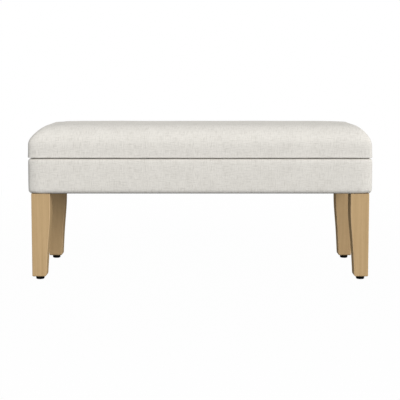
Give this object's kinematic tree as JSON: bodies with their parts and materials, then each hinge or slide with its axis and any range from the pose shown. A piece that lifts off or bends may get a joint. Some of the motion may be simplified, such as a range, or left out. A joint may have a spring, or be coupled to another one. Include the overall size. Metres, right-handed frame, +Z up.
{
  "type": "storage bench",
  "caption": "Upholstered storage bench with a thick padded flip-up lid, a lined compartment, folding lid stays and tapered square oak legs with plastic glides.",
  "frame": {"origin": "on the floor under the centre of the bench", "axes": "+X along the length towards the right end, +Y towards the back where the hinges are, +Z up"},
  "size_m": [1.016, 0.406, 0.457],
  "materials": {
    "linen_fabric": "off-white slubbed plain weave, matte",
    "lining_fabric": "black spun-bonded lining, matte",
    "padding_foam": "polyurethane foam",
    "batting": "polyester wadding",
    "plywood": "raw plywood",
    "oak": "natural light oak, matte oil",
    "zinc_steel": "zinc plated",
    "hinge_steel": "nickel plated, satin",
    "stay_steel": "nickel plated, satin",
    "glide_plastic": "black moulded",
    "bumper_rubber": "matte"
  },
  "bodies": {
    "base": {"base_front_panel": "plywood", "base_back_panel": "plywood", "base_left_panel": "plywood", "base_right_panel": "plywood", "base_bottom_panel": "plywood", "base_padding": "padding_foam", "base_cover": "linen_fabric", "compartment_liner": "lining_fabric", "bottom_dust_cover": "lining_fabric", "corner_screws": "zinc_steel", "bottom_screws": "zinc_steel", "leg_front_left": "oak", "leg_front_right": "oak", "leg_rear_left": "oak", "leg_rear_right": "oak", "leg_hanger_bolts": "zinc_steel", "leg_tee_nuts": "zinc_steel", "leg_glides": "glide_plastic", "glide_nails": "zinc_steel", "hinge_base_leaves": "hinge_steel", "hinge_pins": "zinc_steel", "hinge_base_screws": "zinc_steel", "lid_bumpers": "bumper_rubber", "stay_base_brackets": "stay_steel", "stay_base_rivets": "stay_steel", "stay_base_screws": "zinc_steel"},
    "lid": {"lid_board": "plywood", "lid_foam": "padding_foam", "lid_batting": "batting", "lid_cover": "linen_fabric", "lid_lining": "lining_fabric", "hinge_lid_leaves": "hinge_steel", "hinge_lid_screws": "zinc_steel", "stay_lid_brackets": "stay_steel", "stay_lid_rivets": "stay_steel", "stay_lid_screws": "zinc_steel"},
    "stay_lower_left": {"stay_lower_arm_left": "stay_steel", "stay_elbow_rivet_left": "stay_steel"},
    "stay_lower_right": {"stay_lower_arm_right": "stay_steel", "stay_elbow_rivet_right": "stay_steel"},
    "stay_upper_left": {"stay_upper_arm_left": "stay_steel"},
    "stay_upper_right": {"stay_upper_arm_right": "stay_steel"}
  },
  "joints": [
    {"name": "lid_hinge", "type": "hinge", "parent": "base", "child": "lid", "pos_m": [0, 0.201, 0.36415], "axis": [-1, 0, 0], "range_deg": [0, 95]},
    {"name": "stay_foot_left", "type": "hinge", "parent": "base", "child": "stay_lower_left", "pos_m": [-0.4808, 0.146, 0.30915], "axis": [-1, 0, 0], "range_deg": [0, 101.03]},
    {"name": "stay_head_left", "type": "hinge", "parent": "lid", "child": "stay_upper_left", "pos_m": [-0.4785, 0.0785, 0.35315], "axis": [-1, 0, 0], "range_deg": [-97.14, 0]},
    {"name": "stay_foot_right", "type": "hinge", "parent": "base", "child": "stay_lower_right", "pos_m": [0.4808, 0.146, 0.30915], "axis": [-1, 0, 0], "range_deg": [0, 101.03]},
    {"name": "stay_head_right", "type": "hinge", "parent": "lid", "child": "stay_upper_right", "pos_m": [0.4785, 0.0785, 0.35315], "axis": [-1, 0, 0], "range_deg": [-97.14, 0]}
  ],
  "couplings": [
    {"joint": "stay_foot_left", "follows": "lid_hinge", "ratio": 1.063},
    {"joint": "stay_head_left", "follows": "lid_hinge", "ratio": -1.022},
    {"joint": "stay_foot_right", "follows": "lid_hinge", "ratio": 1.063},
    {"joint": "stay_head_right", "follows": "lid_hinge", "ratio": -1.022}
  ]
}
